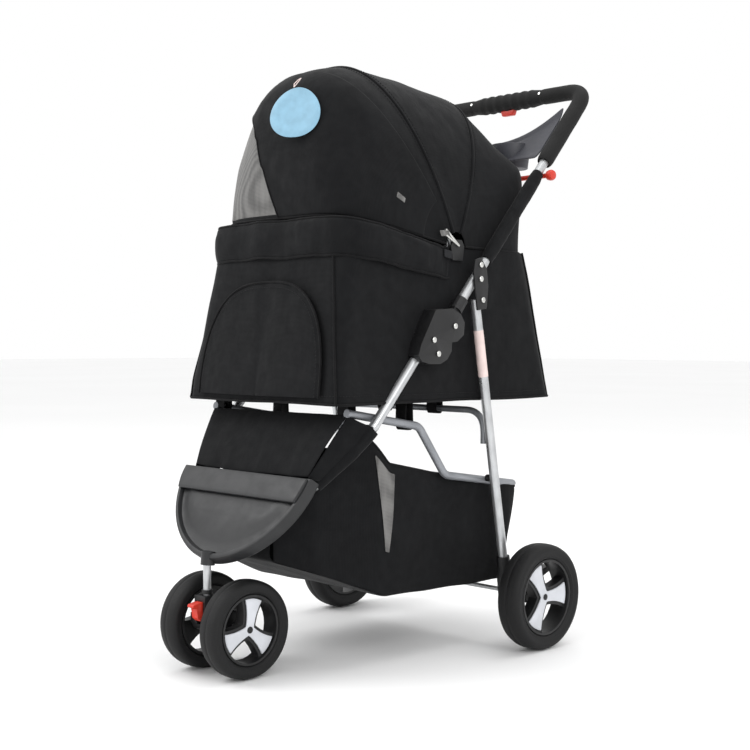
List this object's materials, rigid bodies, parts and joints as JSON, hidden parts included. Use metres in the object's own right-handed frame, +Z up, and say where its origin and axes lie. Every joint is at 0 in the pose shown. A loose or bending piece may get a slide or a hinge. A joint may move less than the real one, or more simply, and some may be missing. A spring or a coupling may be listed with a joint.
{
  "type": "pet stroller",
  "caption": "Folding three-wheeled pet stroller with a fabric cabin, tilting hood, cup tray, storage basket and castering front wheels.",
  "frame": {"origin": "on the floor, under the middle of the stroller's outline", "axes": "+Z up, the front faces -Y, +X is the left side as seen by the person pushing"},
  "size_m": [0.524, 0.7668, 0.9759],
  "materials": {
    "steel": "satin silver tube",
    "link_steel": "matt grey tube",
    "black_plastic": "moulded, fine texture",
    "tray_plastic": "moulded dark grey, soft sheen",
    "foam": "foam grip, fine pebble",
    "tyre": "foam tyre, matt",
    "cup_plastic": "moulded grey",
    "red_plastic": "moulded red",
    "cap_silver": "silver-white",
    "cloth": "plain-woven charcoal polyester",
    "pad_cloth": "quilted charcoal polyester",
    "tag_card": "light blue card"
  },
  "bodies": {
    "front_frame": {"front_leg_frame": "steel", "front_tray": "tray_plastic", "front_stem": "steel", "lower_knuckle_left": "black_plastic", "lower_knuckle_right": "black_plastic", "cabin_floor": "cloth", "cabin_pad": "pad_cloth", "cabin_front_wall": "cloth", "cabin_rear_wall": "cloth", "cabin_side_left": "cloth", "cabin_side_right": "cloth", "cabin_rim": "cloth", "hood_hinge_left": "black_plastic", "hood_hinge_right": "black_plastic", "hood_rear_panel": "cloth", "basket": "cloth", "basket_flap": "cloth"},
    "handle": {"handle_tube": "steel", "upper_knuckle_left": "black_plastic", "upper_knuckle_right": "black_plastic", "grip_left": "foam", "grip_right": "foam", "handle_housing": "black_plastic", "cup_tray": "cup_plastic"},
    "fold_trigger": {"fold_trigger": "red_plastic"},
    "lock_bar": {"lock_bar": "red_plastic"},
    "rear_frame": {"rear_leg_left": "steel", "rear_leg_right": "steel", "leg_bracket_left": "black_plastic", "leg_bracket_right": "black_plastic", "axle_foot_left": "black_plastic", "axle_foot_right": "black_plastic", "link_spacer_left": "black_plastic", "link_spacer_right": "black_plastic", "rear_crossbar": "steel", "rear_axle": "steel"},
    "brake_left": {"brake_pedal_left": "black_plastic"},
    "brake_right": {"brake_pedal_right": "black_plastic"},
    "lower_link": {"lower_link": "link_steel"},
    "caster": {"caster_fork": "black_plastic", "front_axle": "steel"},
    "swivel_lock": {"swivel_lock": "red_plastic"},
    "hood_back": {"hood_rear_bow": "steel", "hood_middle_panel": "cloth"},
    "hood_front": {"hood_front_bow": "steel", "hood_front_panel": "cloth"},
    "tag": {"hang_tag": "tag_card"},
    "front_wheel_left": {"front_tyre_left": "tyre", "front_hub_left": "black_plastic", "front_spoke_cap_left": "cap_silver"},
    "front_wheel_right": {"front_tyre_right": "tyre", "front_hub_right": "black_plastic", "front_spoke_cap_right": "cap_silver"},
    "rear_wheel_left": {"rear_tyre_left": "tyre", "rear_hub_left": "black_plastic", "rear_spoke_cap_left": "cap_silver"},
    "rear_wheel_right": {"rear_tyre_right": "tyre", "rear_hub_right": "black_plastic", "rear_spoke_cap_right": "cap_silver"}
  },
  "joints": [
    {"name": "handle_fold", "type": "hinge", "parent": "front_frame", "child": "handle", "pos_m": [0, 0.00165, 0.534], "axis": [-1, 0, 0], "range_deg": [0, 135], "deforming": ["basket", "cabin_floor", "cabin_side_left", "cabin_side_right"]},
    {"name": "rear_leg_swing", "type": "hinge", "parent": "handle", "child": "rear_frame", "pos_m": [0, 0.06265, 0.611], "axis": [1, 0, 0], "range_deg": [0, 110.3]},
    {"name": "link_swing", "type": "hinge", "parent": "front_frame", "child": "lower_link", "pos_m": [0, -0.14835, 0.392], "axis": [-1, 0, 0], "range_deg": [0, 53.2]},
    {"name": "trigger_pull", "type": "slide", "parent": "handle", "child": "fold_trigger", "axis": [0, 0, 1], "range_m": [0, 0.005], "stiffness_N_per_m": 300, "springref_m": -0.002},
    {"name": "lock_slide", "type": "slide", "parent": "handle", "child": "lock_bar", "axis": [0, 0.6594, 0.7517], "range_m": [0, 0.01]},
    {"name": "brake_left_press", "type": "hinge", "parent": "rear_frame", "child": "brake_left", "pos_m": [0.2045, 0.18065, 0.11], "axis": [-1, 0, 0], "range_deg": [0, 20]},
    {"name": "brake_right_press", "type": "hinge", "parent": "rear_frame", "child": "brake_right", "pos_m": [-0.2045, 0.18065, 0.11], "axis": [-1, 0, 0], "range_deg": [0, 20]},
    {"name": "caster_swivel", "type": "hinge", "parent": "front_frame", "child": "caster", "pos_m": [0, -0.34135, 0.12], "axis": [0, 0, 1], "continuous": true},
    {"name": "swivel_lock_slide", "type": "slide", "parent": "caster", "child": "swivel_lock", "axis": [0, 0, -1], "range_m": [0, 0.006]},
    {"name": "hood_back_tilt", "type": "hinge", "parent": "front_frame", "child": "hood_back", "pos_m": [0, 0.03265, 0.664], "axis": [-1, 0, 0], "range_deg": [0, 22]},
    {"name": "hood_front_tilt", "type": "hinge", "parent": "hood_back", "child": "hood_front", "pos_m": [0, 0.03265, 0.664], "axis": [-1, 0, 0], "range_deg": [0, 35], "deforming": ["hood_middle_panel", "hood_rear_panel"]},
    {"name": "tag_swing", "type": "hinge", "parent": "hood_front", "child": "tag", "pos_m": [0.012, -0.18435, 0.912], "axis": [-1, 0, 0], "range_deg": [0, 60]},
    {"name": "front_wheel_left_spin", "type": "hinge", "parent": "caster", "child": "front_wheel_left", "pos_m": [0.05, -0.30835, 0.075], "axis": [1, 0, 0], "continuous": true},
    {"name": "front_wheel_right_spin", "type": "hinge", "parent": "caster", "child": "front_wheel_right", "pos_m": [-0.05, -0.30835, 0.075], "axis": [1, 0, 0], "continuous": true},
    {"name": "rear_wheel_left_spin", "type": "hinge", "parent": "rear_frame", "child": "rear_wheel_left", "pos_m": [0.24, 0.16265, 0.0875], "axis": [1, 0, 0], "continuous": true},
    {"name": "rear_wheel_right_spin", "type": "hinge", "parent": "rear_frame", "child": "rear_wheel_right", "pos_m": [-0.24, 0.16265, 0.0875], "axis": [1, 0, 0], "continuous": true}
  ],
  "couplings": [
    {"joint": "rear_leg_swing", "follows": "handle_fold", "ratio": 0.8163},
    {"joint": "link_swing", "follows": "handle_fold", "ratio": 0.3933},
    {"joint": "hood_front_tilt", "follows": "hood_back_tilt", "ratio": 1.5909}
  ]
}
